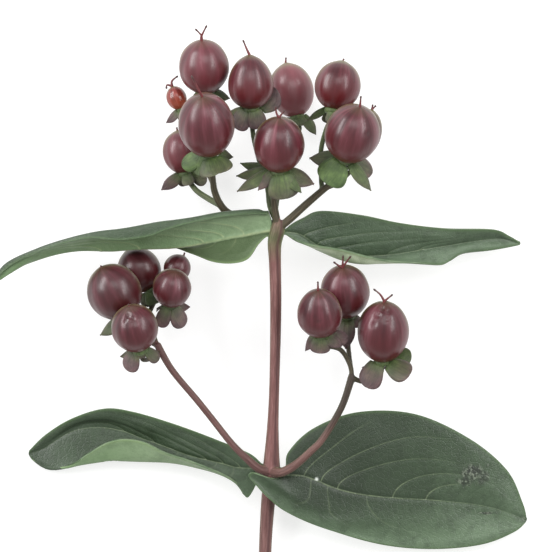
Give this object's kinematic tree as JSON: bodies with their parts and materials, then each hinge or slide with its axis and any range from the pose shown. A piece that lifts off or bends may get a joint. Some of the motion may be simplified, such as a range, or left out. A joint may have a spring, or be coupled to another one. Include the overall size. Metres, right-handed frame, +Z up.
{
  "type": "hypericum berry stem",
  "caption": "Cut hypericum stem lying flat, with ripe brown-red berries in their green calyces, side branches and broad paired leaves.",
  "frame": {"origin": "middle of the footprint of the lying stem, on the surface that it rests on", "axes": "+Y runs along the stem from its cut end to the top berries, +Z up off the surface, +X to the side of the larger lower leaf"},
  "size_m": [0.124, 0.1338, 0.0371],
  "materials": {
    "stem_bark": "matte red-brown young bark",
    "leaf_green": "satin dark green leaf, paler below",
    "berry_skin": "waxy brown-red berry skin",
    "berry_unripe": "glossy orange-red unripe berry skin",
    "sepal_green": "matte green sepals, some flushed purple-brown"
  },
  "bodies": {
    "root": {"stem": "stem_bark", "leaf_upper_left": "leaf_green", "leaf_upper_right": "leaf_green", "leaf_lower_left": "leaf_green", "leaf_lower_right": "leaf_green", "berry_top_1": "berry_skin", "calyx_top_1": "sepal_green", "berry_top_2": "berry_skin", "calyx_top_2": "sepal_green", "berry_top_3": "berry_skin", "calyx_top_3": "sepal_green", "berry_top_4": "berry_skin", "calyx_top_4": "sepal_green", "berry_top_5": "berry_skin", "calyx_top_5": "sepal_green", "berry_top_6": "berry_skin", "calyx_top_6": "sepal_green", "berry_top_7": "berry_skin", "calyx_top_7": "sepal_green", "berry_top_8": "berry_skin", "calyx_top_8": "sepal_green", "berry_top_9": "berry_unripe", "calyx_top_9": "sepal_green", "berry_top_10": "berry_skin", "calyx_top_10": "sepal_green", "berry_left_1": "berry_skin", "calyx_left_1": "sepal_green", "berry_left_2": "berry_skin", "calyx_left_2": "sepal_green", "berry_left_3": "berry_skin", "calyx_left_3": "sepal_green", "berry_left_4": "berry_skin", "calyx_left_4": "sepal_green", "berry_left_5": "berry_skin", "calyx_left_5": "sepal_green", "berry_right_1": "berry_skin", "calyx_right_1": "sepal_green", "berry_right_2": "berry_skin", "calyx_right_2": "sepal_green", "berry_right_3": "berry_skin", "calyx_right_3": "sepal_green"}
  },
  "joints": []
}
